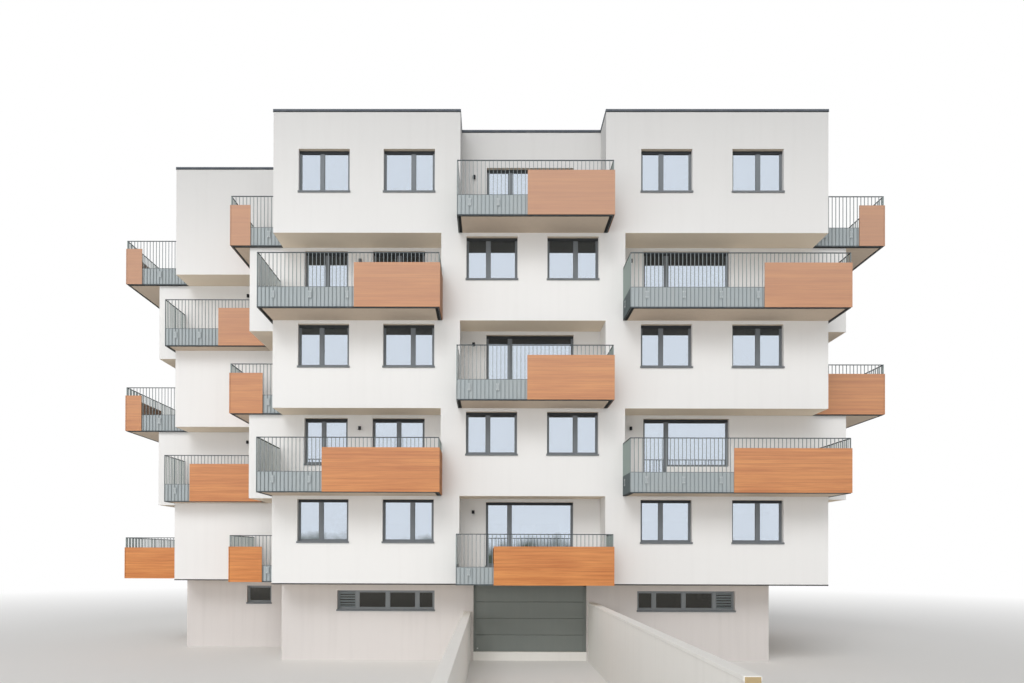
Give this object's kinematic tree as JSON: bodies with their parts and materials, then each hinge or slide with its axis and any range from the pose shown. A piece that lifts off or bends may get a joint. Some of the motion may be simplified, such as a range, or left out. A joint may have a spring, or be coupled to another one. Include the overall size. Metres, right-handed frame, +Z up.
{
  "type": "apartment block",
  "caption": "Storeyed apartment block of two staggered blocks with stepped storeys, wood and sheet fronted balconies, flat roof and a garage storey.",
  "frame": {"origin": "centre of the plan of the walls, at the height where the lowest walls stand", "axes": "+Z up, the garage front faces -Y, +X to the right of a viewer in front"},
  "size_m": [28.91, 33.46, 19.03],
  "materials": {
    "wall_render": "fine off-white render",
    "plinth_render": "grey-beige plinth render",
    "balcony_render": "painted slab",
    "floor_concrete": "concrete",
    "roof_surface": "grey roofing with gravel",
    "ramp_concrete": "pale fair-faced concrete",
    "coping_metal": "anthracite sheet",
    "window_frame": "anthracite, satin",
    "window_glass": "clear",
    "wood_boards": "orange-brown boards, grain along",
    "grey_sheet": "grey-green coated sheet",
    "railing_metal": "anthracite coated steel",
    "garage_door_metal": "dark grey-green"
  },
  "bodies": {
    "root": {"balcony_boards": "wood_boards", "balcony_sheets": "grey_sheet", "garage_door": "garage_door_metal", "garage_floor": "floor_concrete", "garage_front_and_rear_walls": "plinth_render", "garage_glass": "window_glass", "garage_side_walls": "plinth_render", "garage_threshold": "ramp_concrete", "garage_window_frames": "window_frame", "parapet_coping": "coping_metal", "ramp_walls": "ramp_concrete", "roof_slab": "roof_surface", "storey_1_balcony_slabs": "balcony_render", "storey_1_floor": "wall_render", "storey_1_front_and_rear_walls": "wall_render", "storey_1_glass": "window_glass", "storey_1_railings": "railing_metal", "storey_1_side_walls": "wall_render", "storey_1_window_frames": "window_frame", "storey_2_balcony_slabs": "balcony_render", "storey_2_floor": "wall_render", "storey_2_front_and_rear_walls": "wall_render", "storey_2_glass": "window_glass", "storey_2_railings": "railing_metal", "storey_2_side_walls": "wall_render", "storey_2_window_frames": "window_frame", "storey_3_balcony_slabs": "balcony_render", "storey_3_floor": "wall_render", "storey_3_front_and_rear_walls": "wall_render", "storey_3_glass": "window_glass", "storey_3_railings": "railing_metal", "storey_3_side_walls": "wall_render", "storey_3_window_frames": "window_frame", "storey_4_balcony_slabs": "balcony_render", "storey_4_floor": "wall_render", "storey_4_front_and_rear_walls": "wall_render", "storey_4_glass": "window_glass", "storey_4_railings": "railing_metal", "storey_4_side_walls": "wall_render", "storey_4_window_frames": "window_frame", "storey_5_balcony_slabs": "balcony_render", "storey_5_floor": "wall_render", "storey_5_front_and_rear_walls": "wall_render", "storey_5_glass": "window_glass", "storey_5_railings": "railing_metal", "storey_5_side_walls": "wall_render", "storey_5_window_frames": "window_frame"}
  },
  "joints": []
}
